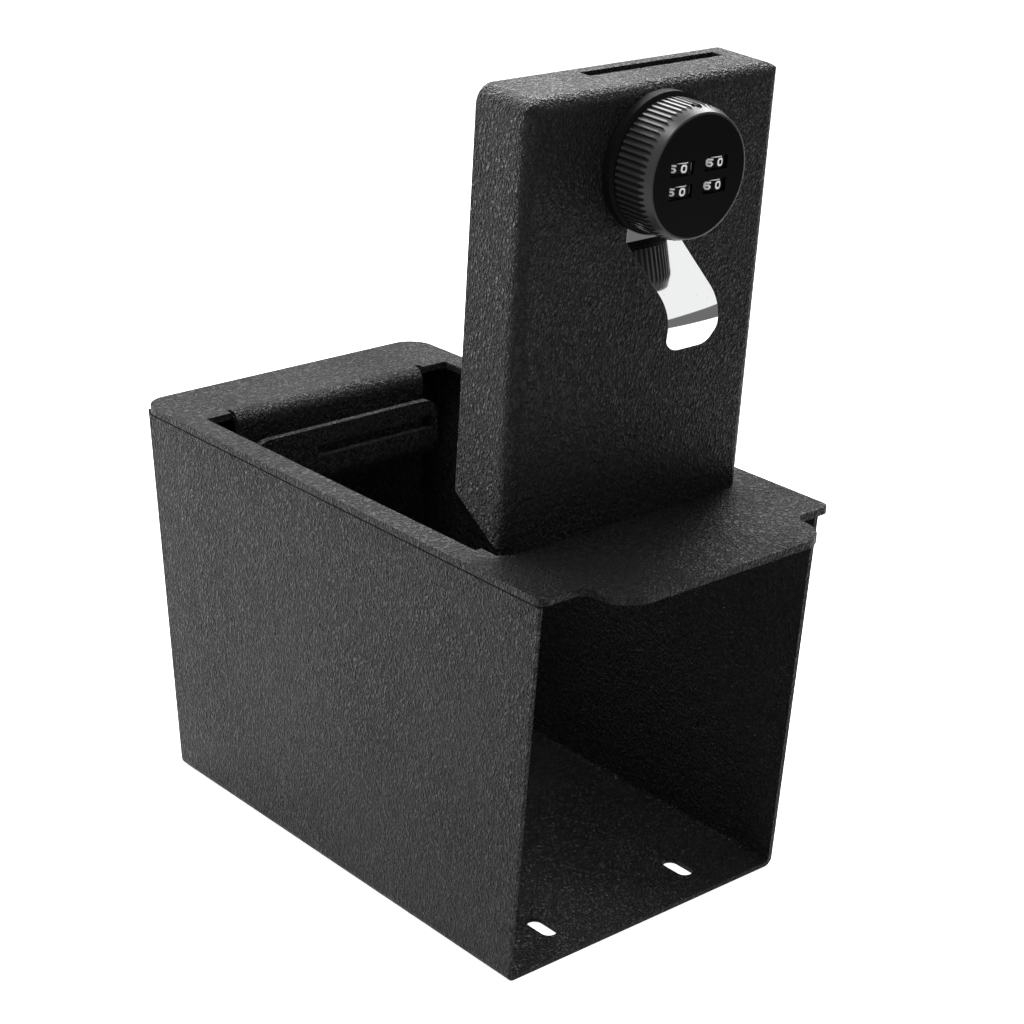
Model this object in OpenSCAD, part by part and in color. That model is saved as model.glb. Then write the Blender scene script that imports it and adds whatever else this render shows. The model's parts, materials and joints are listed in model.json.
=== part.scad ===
// Vehicle console safe: a bent steel box, open at the front, under a cut-out top plate with a hinged,
// flush lid. The lid carries a four-wheel combination cam lock and a finger pull. It stands open at rest.
// X runs across the box, Y from the open front to the back and Z up. The origin is at the middle of the
// overall length and width, on the underside of the floor.

/* [Box] */
// Width of the top plate
plate_w = 150; // [140:1:190]
// Length of the top plate, from the tongue's front edge to the back edge
plate_l = 280; // [250:1:360]
// Height from the floor's underside to the top plate's upper face
box_h = 166; // [110:1:240]
// Thickness of the top plate and the lid
plate_t = 3; // [2:0.1:3.5]
// Thickness of the side walls, the floor and the rear panel
wall_t = 2; // [1.5:0.1:3]
// How far the top plate overhangs each side wall
side_overhang = 2.4; // [1:0.1:5]
// How far the top plate overhangs the walls at the back
back_overhang = 2.9; // [1:0.1:6]
// How far the walls' front edges lie behind the shoulders of the plate
front_setback = 3.8; // [1:0.1:10]
// How much shorter the floor is than the plate at the back
back_lean = 19; // [0:0.5:30]
// How much shorter the floor is than the walls' top at the front
front_lean = 11; // [0:0.5:20]
// Outer radius of the bends between the floor and the walls
floor_bend_r = 3.5; // [3:0.1:8]

/* [Top plate] */
// Radius of the plate's back corners
back_corner_r = 12; // [4:0.5:20]
// Radius of the plate's front corners
front_corner_r = 4; // [2:0.5:8]
// How far the tongue reaches past the plate's shoulders
tongue_l = 20; // [18:0.5:30]
// Width of the tongue
tongue_w = 108; // [80:1:112]
// Radius of the tongue's corners
tongue_r = 14; // [6:0.5:17]
// Radius of the inner corners beside the tongue
shoulder_r = 5; // [2:0.5:8]
// Width of the plate beside the lid's opening
side_flange = 10.6; // [8:0.1:16]
// Length of the plate behind the lip
back_flange = 31.3; // [25:0.1:50]
// Length of the shelf, from the tongue's front edge to the hinge
shelf_l = 59.8; // [50:0.1:80]
// How much narrower the opening is on each side at the hinge
bay_step = 2.9; // [1:0.1:4]
// Depth of the narrower part of the opening at the hinge
bay_l = 9.2; // [6:0.1:12]

/* [Striker] */
// Width of the strip that bends down from the plate
strip_w = 99.6; // [80:0.2:104]
// Outer radius of the strip's upper bend
lip_r = 6; // [5:0.1:9]
// Width of the relief cuts beside the strip
relief_w = 2; // [1:0.1:4]
// How far the opening's edge lies behind the lip's front face
edge_step = 2.5; // [1:0.1:4.5]
// Width of the channel that takes the lid's end wall
channel_w = 8.2; // [7:0.1:12]
// Depth of the centre of the strip's lower bend
channel_depth = 31; // [30:0.5:40]
// Depth of the strip's free edge
striker_top = 10.3; // [6:0.1:14]
// Radius of the corners of the strip's free edge
striker_r = 8; // [3:0.5:9]
// Length of the slots for the cam in the strip
striker_slot_l = 63; // [60:0.5:70]
// Height of the slots for the cam in the strip
striker_slot_h = 5.8; // [5:0.1:8]

/* [Floor slots] */
// Distance between the slots across the floor
slot_span = 75; // [50:1:110]
// Distance of a slot's centre from the floor's end
slot_inset = 20; // [14:0.5:30]
// Width of a slot
slot_w = 7; // [4:0.1:10]
// Length of a slot, end to end
slot_l = 15; // [12:0.5:24]

/* [Lid] */
// Gap between the lid and the opening on each side
lid_gap = 2.6; // [1.5:0.1:4]
// Depth of the lid's folded rim
lid_depth = 28.2; // [27.5:0.1:32]
// Outer radius of the lid's bends
lid_bend_r = 6; // [5:0.1:8]
// Radius of the lid's corners at its free end
lid_corner_r = 7; // [5:0.5:10]
// Angle that the lid opens to
open_angle = 92.8; // [90:0.1:100]
// Gap between the open lid's edge and the shelf
rest_gap = 0.15; // [0.05:0.05:0.5]
// Gap between the lid's swinging corner and the lip
lip_gap = 1.2; // [0.6:0.1:3]
// Distance from the hinge end to where the lid's rim begins
rim_start = 2.8; // [2:0.1:6]
// Depth of the rim where it begins
rim_start_depth = 5.1; // [4:0.1:8]
// Distance from the hinge end to where the rim has its full depth
rim_full = 16.6; // [12:0.1:30]
// Length of the slot in the lid's end wall
end_slot_l = 66.6; // [62:0.2:72]
// Height of the slot in the lid's end wall
end_slot_h = 5.6; // [5:0.1:8]
// Distance of the slots' middle from the lock's axis
slot_shift = 15; // [12:0.1:17]

/* [Hinge] */
// Outer radius of the hinge's knuckles
knuckle_r = 3.4; // [3:0.1:4]
// How far the knuckles stand out past the leaves' outer faces
knuckle_rise = 0.2; // [0.1:0.05:0.4]
// Radius of the hinge pin
hinge_pin_r = 1.5; // [1:0.1:1.8]
// Number of knuckles
knuckles = 9; // [5:2:15]
// Gap between two knuckles
knuckle_gap = 0.3; // [0.2:0.05:0.6]
// Thickness of the hinge's leaves
leaf_t = 1.4; // [1:0.1:1.8]
// Width of a leaf, from the pin's axis to its free edge
leaf_w = 20; // [14:0.5:24]
// Gap between the shelf's edge and the upright leaf
leaf_gap = 0.6; // [0.5:0.1:1]
// Running clearance around shafts and pins
run_gap = 0.05; // [0.03:0.01:0.08]

/* [Lock] */
// Distance of the lock's axis from the lid's free end
lock_inset = 28.9; // [26.5:0.1:34]
// Depth of the cam's middle below the lid's outer face
cam_depth = 20.8; // [20.5:0.1:21.5]
// Radius of the lock body's flange
flange_r = 26.2; // [25.5:0.1:30]
// Height of the flange's top above the lid
flange_top = 4.65; // [3.8:0.05:4.7]
// How far the flange's top slopes down to its edge
flange_slope_drop = 0.8; // [0.4:0.1:1.2]
// Width of that slope
flange_slope_w = 1.5; // [0.8:0.1:1.6]
// Radius of the lock's threaded barrel
barrel_r = 9.5; // [8:0.1:11]
// Radius of the spindle
spindle_r = 5; // [4.8:0.1:6]
// Side of the spindle's square end
square_side = 6.8; // [6:0.1:6.8]
// Width of the nut across its flats
nut_flats = 27; // [25:0.5:29]
// Thickness of the nut
nut_t = 6; // [4:0.5:8]
// Radius of the washer under the nut
washer_r = 13.5; // [12.5:0.1:15]
// Thickness of the washer under the nut
washer_t = 1.2; // [0.8:0.1:2]
// Reach of the cam from the lock's axis
cam_reach = 45; // [40:0.5:46]
// Width of the cam
cam_w = 22; // [18:0.5:23]
// Thickness of the cam
cam_t = 3; // [2.5:0.1:3.2]
// Radius of the cam screw's head
cam_screw_r = 4.2; // [3.5:0.1:5]
// Thickness of the cam screw's head
cam_screw_t = 2.7; // [2:0.1:3]
// Radius of the cam's washer
cam_washer_r = 7; // [6:0.1:9]
// Thickness of the cam's washer
cam_washer_t = 1; // [0.6:0.1:1.4]

/* [Knob] */
// Radius of the knob
knob_r = 24.6; // [24:0.1:25.2]
// Height of the dial's face above the lid
face_h = 22; // [21.6:0.1:24]
// Radius of the dial plate
dial_r = 22.2; // [22:0.1:22.6]
// Thickness of the dial plate
dial_t = 1.4; // [1:0.1:2]
// Radius of the knob's inside
knob_bore_r = 21; // [20.6:0.1:21.4]
// Height at which the knob's front bevel begins
bevel_h = 17.3; // [15:0.1:18.5]
// Number of flutes around the knob
flutes = 64; // [36:2:72]
// Radius of a flute's cutter
flute_r = 0.8; // [0.5:0.05:0.9]
// Height of the flutes' lower ends above the knob's base
flute_start = 0.5; // [0.4:0.1:3]
// Gap between the knob and the flange
knob_gap = 0.15; // [0.1:0.05:0.5]
// Radius of the reset hole in the knob's side
reset_r = 2.1; // [1.5:0.1:2.3]
// How far the reset plunger lies below the knob's surface
reset_recess = 1; // [0.5:0.1:1.5]
// Length of the reset plunger
reset_l = 6; // [4:0.5:7]

/* [Number wheels] */
// Radius of a number wheel
wheel_r = 7.1; // [6.8:0.05:7.2]
// Width of a number wheel
wheel_t = 4.6; // [4.2:0.1:4.8]
// Distance between the two columns of wheels
column_pitch = 16.7; // [16.4:0.1:17.2]
// Distance between the two rows of wheels
row_pitch = 8.4; // [8.2:0.1:8.8]
// Distance of the dial's middle below the lock's axis
dial_drop = 0.6; // [0:0.1:1]
// How far the wheels sit to the right of the windows' middle
wheel_shift = 2; // [0:0.1:2]
// How far a wheel's rim lies below the dial's face
wheel_recess = 0.6; // [0.4:0.05:0.9]
// Length of a window
window_l = 11.2; // [11:0.1:12]
// Width of a window
window_w = 5; // [5:0.1:5.4]
// Radius of a wheel's axle
axle_r = 1.5; // [1:0.1:2]
// Gap beside a wheel
wheel_gap = 0.3; // [0.2:0.05:0.4]
// Thickness of the ribs above and below the wheels
rib_t = 2; // [1.5:0.1:3]
// Thickness of the carrier's base
base_t = 2; // [1.8:0.1:2.4]
// Thickness of the detent springs
spring_t = 0.5; // [0.3:0.05:0.8]
// Thickness of the locking bar
bar_t = 2.2; // [1.6:0.1:2.2]
// Travel of the locking bar
bar_travel = 1.1; // [0.8:0.1:1.1]
// Radius of the locking bar's pin
bar_pin_r = 1.2; // [0.8:0.1:1.5]
// Distance of the locking bar's pin from the lock's axis
bar_pin_at = 12.6; // [12:0.1:14]

/* [Finger pull] */
// Thickness of the pull's sheet
pull_t = 1.2; // [0.8:0.1:1.6]
// Width of the pull
pull_w = 25; // [20:0.5:30]
// Distance of the pull's fold from the lock's axis
fold_at = 28.8; // [27.5:0.1:34]
// Angle between the pull's blade and the lid. It rises 4 for every 3 along the lid
fold_angle = atan2(4, 3);
// Length of the blade's straight part
blade_l = 24.5; // [20:0.5:28]
// Radius of the bend that turns the blade along the lid
blade_bend_r = 14; // [10:0.5:16]
// Angle of that bend, which turns the blade back towards the lid
blade_bend_angle = atan2(24, 7);
// Angle of the curl at the tip
curl_angle = atan2(7, 24);
// Radius of the curl at the tip
curl_r = 5; // [4:0.5:9]
// Length of the straight tip
tip_l = 4; // [2:0.5:7]
// Gap between the pull and the flange's recess
pull_gap = 0.1; // [0.05:0.05:0.3]
// Radius of the pull's lower corners
pull_corner_r = 7.3; // [3:0.1:9.5]

/* [Hidden] */
$fn = 96;
cut = 1;                                  // how far a cutter runs past a face
tip_trim = 0.6;                           // what is cut off the end of the finger pull
dip_angle = blade_bend_angle - fold_angle; // how far the blade dips towards the lid after its bend

// Places along the box
front_y = -plate_l/2;
back_y = plate_l/2;
shoulder_y = front_y + tongue_l;
wall_front_y = shoulder_y + front_setback;
wall_back_y = back_y - back_overhang;
floor_front_y = wall_front_y + front_lean;
floor_back_y = wall_back_y - back_lean;
wall_x = plate_w/2 - side_overhang;       // outer face of a side wall
under_z = box_h - plate_t;                // underside of the top plate

// Hinge
leaf_level = knuckle_r - knuckle_rise;    // from the hinge's axis to a leaf's outer face
hinge_axis_drop = plate_t + leaf_level;   // from the plate's upper face down to the hinge's axis
shelf_y = front_y + shelf_l;
hinge_y = shelf_y + leaf_gap + leaf_level;
hinge_z = box_h - hinge_axis_drop;

// Opening, lip and striker
open_x = plate_w/2 - side_flange;
bay_x = open_x - bay_step;
lip_y = back_y - back_flange - lip_r;     // front face of the lip
opening_back_y = lip_y + edge_step;
leg_y = lip_y - channel_w - plate_t;      // front face of the striker leg

// Lid: its length follows from the arc that its lower corner may sweep
lid_w = 2*(open_x - lid_gap);
lid_edge = hinge_axis_drop*(1 - cos(open_angle))/sin(open_angle) + rest_gap;
lid_sweep = lip_y - lip_gap - hinge_y;
lid_l = sqrt(pow(lid_sweep, 2) - pow(lid_depth - hinge_axis_drop, 2)) - lid_edge;
lid_y = hinge_y + lid_edge;               // the closed lid's hinge edge
lid_end_y = lid_y + lid_l;
lock_y = lid_end_y - lock_inset;
knuckle_pitch = floor((lid_w - 2*lid_bend_r - 1)/knuckles*10)/10;    // in whole tenths, to end inside the lid
hinge_l = knuckles*knuckle_pitch;

// Heights above the lid's outer face, in the lock's own frame
knob_base_h = flange_top + knob_gap;
base_top_h = knob_base_h + base_t;
wheel_h = face_h - wheel_recess - wheel_r;
dial_under_h = face_h - dial_t;
cam_top_h = -cam_depth + cam_t/2;
cam_low_h = cam_top_h - cam_t;
barrel_end_h = cam_top_h + 0.5;
cam_screw_h = cam_low_h - cam_washer_t;   // underside of the cam's washer
rib_top_h = wheel_h + 3.4;
rib_x = column_pitch/2 + wheel_r + wheel_gap;
rib_end = row_pitch/2 + wheel_t/2 + wheel_gap + rib_t;
mid_rib_t = row_pitch - wheel_t - 2*wheel_gap;
boss_r = 2.4;
boss_at = knob_bore_r - boss_r + 0.2;     // the bosses grow out of the knob's wall
boss_top_h = 14;
screw_r = 1;                              // carrier screws
screw_head_r = 1.9;
screw_head_t = 0.9;
screw_l = 6;
cam_thread_r = 1.6;                       // cam screw's thread
cam_thread_l = 9;
bar_low_h = base_top_h + bar_travel + 0.1;
bar_height = 4;
bar_tip_h = knob_base_h + 0.1;            // the locking bar's pin ends here at rest
bevel_edge_r = dial_r + 0.5;              // radius of the knob's rim at the dial
reset_h = bevel_h + 0.3;

coat = [0.16, 0.16, 0.17];
steel = [0.62, 0.63, 0.65];
zinc = [0.12, 0.12, 0.13];

// Turns the closed lid and what it carries to the open rest position
module on_lid() {
    translate([0, hinge_y, hinge_z]) rotate([open_angle, 0, 0])
        translate([0, -hinge_y, -hinge_z]) children();
}

// The lock's own frame: Z is its axis, out of the lid, with 0 on the lid's outer face
module at_lock() {
    on_lid() translate([0, lock_y, box_h]) children();
}

// A box between two corners
module span(low, high) {
    translate(low) cube(high - low);
}

// A cylinder along X, centred on X
module bar_x(r, l) {
    rotate([0, 90, 0]) cylinder(r = r, h = l, center = true);
}

// A cylinder along Y, centred on Y
module bar_y(r, l) {
    rotate([90, 0, 0]) cylinder(r = r, h = l, center = true);
}

// A rectangle from -w/2 to w/2 and from y0 to y1, with a radius at each end's corners
module rounded_outline(w, y0, y1, r0, r1) {
    x = w/2;
    polygon([[-x + r0, y0], [x - r0, y0], [x, y0 + r0], [x, y1 - r1],
             [x - r1, y1], [-x + r1, y1], [-x, y1 - r1], [-x, y0 + r0]]);
    for (s = [-1, 1]) {
        translate([s*(x - r0), y0 + r0]) circle(r = r0);
        translate([s*(x - r1), y1 - r1]) circle(r = r1);
    }
}

// Part of a bent sheet: an arc of sheet t thick around the X axis, from angle a0 to a1, w wide.
// Angles run from +Y towards +Z. The arc's inner radius is r.
module sheet_arc(r, t, a0, a1, w) {
    rotate([0, 90, 0]) rotate([0, 0, 90]) translate([0, 0, -w/2]) rotate([0, 0, a0])
        rotate_extrude(angle = a1 - a0) translate([r, 0]) square([t, w]);
}

// A prism across X, drawn as a polygon in Y and Z
module prism_x(points, w) {
    rotate([90, 0, 90]) translate([0, 0, -w/2]) linear_extrude(w) polygon(points);
}

// Side view of the walls, grown by g towards the outside of the box at each end
module wall_outline(front_in, back_in) {
    prism_x([[wall_front_y + front_in, under_z], [wall_back_y - back_in, under_z],
             [floor_back_y - back_in, 0], [floor_front_y + front_in, 0]], plate_w);
}

// The side walls and the floor, bent from one sheet, with slots in the floor
module box_shell() {
    length = wall_back_y - wall_front_y;
    middle_y = (wall_back_y + wall_front_y)/2;
    color(coat) difference() {
        intersection() {
            wall_outline(0, 0);
            translate([0, middle_y, 0]) bent_channel(wall_x, floor_bend_r, length);
        }
        translate([0, middle_y, wall_t])
            bent_channel(wall_x - wall_t, floor_bend_r - wall_t, length + 2*cut);
        for (x = [-slot_span/2, slot_span/2], y = [floor_front_y + slot_inset, floor_back_y - slot_inset])
            translate([x, y, -cut]) floor_slot(wall_t + 2*cut);
    }
}

// A solid bar along Y with its two lower edges rounded, as wide as 2x and as high as the walls
module bent_channel(x, r, l) {
    span([-x, -l/2, r], [x, l/2, box_h]);
    span([-x + r, -l/2, 0], [x - r, l/2, 2*r]);
    for (s = [-1, 1])
        translate([s*(x - r), 0, r]) bar_y(r, l);
}

module floor_slot(h) {
    straight = slot_l - slot_w;
    span([-slot_w/2, -straight/2, 0], [slot_w/2, straight/2, h]);
    for (s = [-1, 1])
        translate([0, s*straight/2, 0]) cylinder(r = slot_w/2, h = h);
}

// The leaning rear panel, set between the walls
module rear_panel() {
    inner_x = wall_x - wall_t;
    run = sqrt(pow(back_lean, 2) + pow(under_z, 2));
    depth = wall_t*run/under_z;           // the sheet's thickness measured along Y
    color(coat) intersection() {
        prism_x([[wall_back_y, under_z], [floor_back_y, 0], [floor_back_y - depth, 0],
                 [wall_back_y - depth, under_z]], plate_w);
        translate([0, floor_back_y, wall_t]) bent_channel(inner_x, floor_bend_r - wall_t, plate_l);
    }
}

// The top plate, with its tongue, its opening and the strip that bends down into the striker
module top_plate() {
    color(coat) {
        translate([0, 0, under_z]) linear_extrude(plate_t) difference() {
            plate_outline();
            opening_outline();
        }
        difference() {
            striker_strip();
            striker_slots();
        }
    }
}

module plate_outline() {
    x = tongue_w/2;
    rounded_outline(plate_w, shoulder_y, back_y, front_corner_r, back_corner_r);
    polygon([[-x, shoulder_y + cut], [-x, front_y + tongue_r], [-x + tongue_r, front_y],
             [x - tongue_r, front_y], [x, front_y + tongue_r], [x, shoulder_y + cut]]);
    for (s = [-1, 1]) {
        translate([s*(x - tongue_r), front_y + tongue_r]) circle(r = tongue_r);
        difference() {
            translate([s*(x + shoulder_r/2), shoulder_y - shoulder_r/2]) square(shoulder_r, center = true);
            translate([s*(x + shoulder_r), shoulder_y - shoulder_r]) circle(r = shoulder_r);
        }
    }
}

// The opening: narrow at the hinge, full width behind it, with relief cuts beside the strip
module opening_outline() {
    translate([-bay_x, shelf_y]) square([2*bay_x, bay_l + cut]);
    translate([-open_x, shelf_y + bay_l]) square([2*open_x, opening_back_y - shelf_y - bay_l]);
    translate([-strip_w/2 - relief_w, opening_back_y - cut])
        square([strip_w + 2*relief_w, lip_y + lip_r - opening_back_y + cut]);
}

// Lip, channel and striker leg: the strip bends down, then turns forward and up again
module striker_strip() {
    channel_r = channel_w/2;
    bend_z = box_h - channel_depth;
    translate([0, lip_y + lip_r, box_h - lip_r]) sheet_arc(lip_r - plate_t, plate_t, 90, 180, strip_w);
    span([-strip_w/2, lip_y, bend_z], [strip_w/2, lip_y + plate_t, box_h - lip_r]);
    translate([0, lip_y - channel_r, bend_z]) sheet_arc(channel_r, plate_t, 180, 360, strip_w);
    intersection() {
        span([-strip_w/2, leg_y, bend_z], [strip_w/2, leg_y + plate_t, box_h - striker_top]);
        translate([0, leg_y + plate_t + cut, 0]) rotate([90, 0, 0]) linear_extrude(plate_t + 2*cut)
            rounded_outline(strip_w, bend_z - striker_r - cut, box_h - striker_top, striker_r, striker_r);
    }
}

module striker_slots() {
    z = box_h - cam_depth;
    span([slot_shift - striker_slot_l/2, leg_y - cut, z - striker_slot_h/2],
         [slot_shift + striker_slot_l/2, lip_y + plate_t + cut, z + striker_slot_h/2]);
}

// Cylinders along the hinge's axis: the knuckles with even numbers, or those with odd numbers
module knuckle_row(first, r, l) {
    for (i = [first : 2 : knuckles - 1])
        translate([(i - (knuckles - 1)/2)*knuckle_pitch, 0, 0]) bar_x(r, l);
}

// A leaf with every other knuckle. The leaf reaches towards side (-1 front, 1 back)
module hinge_leaf(first, side) {
    top = leaf_level;
    near = knuckle_r + leaf_gap/2;        // the plain part of the leaf stays clear of the other knuckles
    band = knuckle_pitch - knuckle_gap;
    difference() {
        union() {
            span([-hinge_l/2, min(side*near, side*leaf_w), top - leaf_t],
                 [hinge_l/2, max(side*near, side*leaf_w), top]);
            for (i = [first : 2 : knuckles - 1])
                translate([(i - (knuckles - 1)/2)*knuckle_pitch, 0, 0])
                    span([-band/2, min(0, side*(near + cut)), top - leaf_t],
                         [band/2, max(0, side*(near + cut)), top]);
            knuckle_row(first, knuckle_r, band);
        }
        bar_x(hinge_pin_r + run_gap, hinge_l + 2*cut);
    }
}

module hinge_leaf_box() {
    color(steel) translate([0, hinge_y, hinge_z]) hinge_leaf(0, -1);
}

module hinge_leaf_lid() {
    color(steel) on_lid() translate([0, hinge_y, hinge_z]) hinge_leaf(1, 1);
}

module hinge_pin() {
    color(steel) translate([0, hinge_y, hinge_z]) bar_x(hinge_pin_r, hinge_l);
}

// A block from y = 0 to l, w wide and h deep below z = 0, with its long top edges and its far end rounded
module pan_block(w, l, h, r_bend, r_corner) {
    intersection() {
        union() {
            span([-w/2 + r_bend, 0, -h], [w/2 - r_bend, l, 0]);
            span([-w/2, 0, -h], [w/2, l, -r_bend]);
            for (s = [-1, 1])
                translate([s*(w/2 - r_bend), l/2, -r_bend]) bar_y(r_bend, l);
        }
        union() {
            span([-w/2, 0, -h], [w/2, l - r_bend, 0]);
            span([-w/2, l - 2*r_bend, -h], [w/2, l, -r_bend]);
            translate([0, l - r_bend, -r_bend]) bar_x(r_bend, w);
        }
        union() {
            span([-w/2, 0, -h], [w/2, l - r_corner, 0]);
            span([-w/2 + r_corner, l - 2*r_corner, -h], [w/2 - r_corner, l, 0]);
            for (s = [-1, 1])
                translate([s*(w/2 - r_corner), l - r_corner, -h]) cylinder(r = r_corner, h = h);
        }
    }
}

// The lid: a shallow pan with an open end at the hinge
module lid_pan() {
    color(coat) on_lid() translate([0, lid_y, box_h]) difference() {
        pan_block(lid_w, lid_l, lid_depth, lid_bend_r, lid_corner_r);
        translate([0, -cut, -plate_t])
            pan_block(lid_w - 2*plate_t, lid_l - plate_t + cut, lid_depth,
                      lid_bend_r - plate_t, lid_corner_r - plate_t);
        prism_x([[-cut, -plate_t], [rim_start - 0.6, -plate_t], [rim_start, -rim_start_depth],
                 [rim_full, -lid_depth], [rim_full, -lid_depth - cut], [-cut, -lid_depth - cut]],
                lid_w + 2*cut);
        span([slot_shift - end_slot_l/2, lid_l - plate_t - cut, -cam_depth - end_slot_h/2],
             [slot_shift + end_slot_l/2, lid_l + cut, -cam_depth + end_slot_h/2]);
        translate([0, lid_l - lock_inset, -plate_t - cut])
            cylinder(r = barrel_r + 0.2, h = plate_t + 2*cut);
    }
}

// Lock body: a round flange on the lid, recessed for the pull, and a threaded barrel through the lid
module lock_body() {
    color(zinc) at_lock() difference() {
        union() {
            difference() {
                rotate_extrude() polygon([[0, 0], [flange_r, 0], [flange_r, flange_top - flange_slope_drop],
                                          [flange_r - flange_slope_w, flange_top], [0, flange_top]]);
                translate([0, 0, -cut]) linear_extrude(pull_t + cut) {
                    translate([-pull_w/2 - pull_gap, -2*flange_r]) square([pull_w + 2*pull_gap, 2*flange_r]);
                    circle(r = pull_w/2 + pull_gap);
                }
            }
            translate([0, 0, barrel_end_h]) cylinder(r = barrel_r, h = pull_t + cut - barrel_end_h);
        }
        translate([0, 0, barrel_end_h - cut])
            cylinder(r = spindle_r + run_gap, h = flange_top - barrel_end_h + 2*cut);
        for (a = [-90, 0])                // the locking bar's pin drops in here, unlocked and locked
            rotate([0, 0, a]) translate([bar_pin_at, wheel_shift, knob_base_h - bar_travel - 0.6])
                cylinder(r = bar_pin_r + 0.3, h = 3, $fn = 32);
    }
}

module lock_washer() {
    color(steel) at_lock() translate([0, 0, -plate_t - washer_t]) difference() {
        cylinder(r = washer_r, h = washer_t);
        translate([0, 0, -cut]) cylinder(r = barrel_r + 0.1, h = washer_t + 2*cut);
    }
}

module lock_nut() {
    color(steel) at_lock() translate([0, 0, -plate_t - washer_t - nut_t]) difference() {
        cylinder(r = nut_flats/2/cos(30), h = nut_t, $fn = 6);
        translate([0, 0, -cut]) cylinder(r = barrel_r + run_gap, h = nut_t + 2*cut);
    }
}

// The fluted knob: a ring that is open behind and takes the dial plate in front
module knob_shell() {
    color(zinc) at_lock() difference() {
        union() {
            difference() {
                rotate_extrude() polygon([[0, knob_base_h], [knob_r - 0.3, knob_base_h],
                                          [knob_r, knob_base_h + 0.3], [knob_r, bevel_h],
                                          [bevel_edge_r + 0.3, face_h - 0.2], [bevel_edge_r, face_h],
                                          [0, face_h]]);
                translate([0, 0, knob_base_h - cut])
                    cylinder(r = knob_bore_r, h = dial_under_h - knob_base_h + cut);
                translate([0, 0, dial_under_h - 0.01]) cylinder(r = dial_r, h = dial_t + cut);
            }
            for (a = [60, 120, 270])
                rotate([0, 0, a]) translate([boss_at, 0, base_top_h])
                    cylinder(r = boss_r, h = boss_top_h - base_top_h, $fn = 48);
        }
        knob_flutes();
        carrier_screw_places() cylinder(r = screw_r, h = screw_l + 0.5, $fn = 32);
        translate([0, knob_r, reset_h]) bar_y(reset_r, 2*(knob_r - knob_bore_r) + 4);
    }
}

// Each flute is a straight cutter along the knob, and runs out on the front bevel
module knob_flutes() {
    low = knob_base_h + flute_start;
    for (i = [0 : flutes - 1])
        rotate([0, 0, (i + 0.5)*360/flutes]) translate([knob_r + 0.1, 0, low]) rotate([0, 0, 22.5])
            cylinder(r = flute_r, h = face_h - low + cut, $fn = 8);
}

// Places the three carrier screws, on the underside of the carrier's base plus the head's depth
module carrier_screw_places() {
    for (a = [60, 120, 270])
        rotate([0, 0, a]) translate([boss_at - 0.6, 0, knob_base_h + screw_head_t]) children();
}

module dial_plate() {
    color([0.03, 0.03, 0.03]) at_lock() translate([0, 0, dial_under_h]) difference() {
        cylinder(r = dial_r - 0.05, h = dial_t - 0.1);
        window_places() translate([0, 0, -cut])
            span([-window_l/2, -window_w/2, 0], [window_l/2, window_w/2, dial_t + 2*cut]);
    }
}

// Places something at each window's column and row, at height 0
module window_places() {
    for (column = [-1, 1], row = [-1, 1])
        translate([column*column_pitch/2, row*row_pitch/2 - dial_drop, 0]) children();
}

// Places what turns or slides among the wheels, which sit beside the windows' middle
module in_carrier(x = 0) {
    translate([x + wheel_shift, -dial_drop, 0]) children();
}

// The carrier: a round base with three ribs that hold the wheels' axles
module wheel_carrier() {
    color([0.55, 0.5, 0.35]) at_lock() difference() {
        union() {
            translate([0, 0, knob_base_h]) cylinder(r = knob_bore_r - 0.1, h = base_t);
            in_carrier() for (y = [-rib_end, rib_end - rib_t])
                span([-rib_x, y, base_top_h - 0.5], [rib_x, y + rib_t, rib_top_h]);
            in_carrier() span([-rib_x, -mid_rib_t/2, base_top_h - 0.5], [rib_x, mid_rib_t/2, rib_top_h]);
        }
        translate([wheel_shift, 0, wheel_h])
            window_places() bar_y(wheel_r + wheel_gap, wheel_t + 2*wheel_gap);
        for (column = [-1, 1])
            in_carrier(column*column_pitch/2) translate([0, 0, wheel_h])
                bar_y(axle_r + run_gap, 2*rib_end + 2*cut);
        translate([wheel_shift, 0, 0]) span([-bar_t/2 - 0.2, -bar_pin_at, base_top_h],
                                            [bar_t/2 + 0.2, rib_end, bar_low_h + bar_height + 0.4]);
        translate([wheel_shift, -bar_pin_at, knob_base_h - cut])
            cylinder(r = bar_pin_r + 0.2, h = base_t + 2*cut, $fn = 32);
        translate([0, 0, knob_base_h - cut]) cylinder(r = spindle_r, h = base_t + cut - 0.4);
        carrier_screw_places() {
            cylinder(r = screw_r + run_gap, h = base_t, $fn = 32);
            translate([0, 0, -screw_head_t - cut])
                cylinder(r = screw_head_r + 0.1, h = screw_head_t + cut, $fn = 32);
        }
    }
}

module carrier_screws() {
    color(steel) at_lock() carrier_screw_places() {
        cylinder(r = screw_r, h = screw_l, $fn = 32);
        translate([0, 0, -screw_head_t]) cylinder(r = screw_head_r, h = screw_head_t, $fn = 32);
    }
}

module wheel_axle(column) {
    color(steel) at_lock() in_carrier(column*column_pitch/2) translate([0, 0, wheel_h])
        bar_y(axle_r, 2*rib_end);
}

module wheel_axle_left() { wheel_axle(-1); }
module wheel_axle_right() { wheel_axle(1); }

// A flat spring against the ends of the ribs, beside the wheels of one column
module detent_spring(column) {
    x = min(column*rib_x, column*(rib_x + spring_t));
    color(steel) at_lock() in_carrier()
        span([x, -rib_end, wheel_h - 4], [x + spring_t, rib_end, wheel_h + 3]);
}

module detent_spring_left() { detent_spring(-1); }
module detent_spring_right() { detent_spring(1); }

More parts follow.
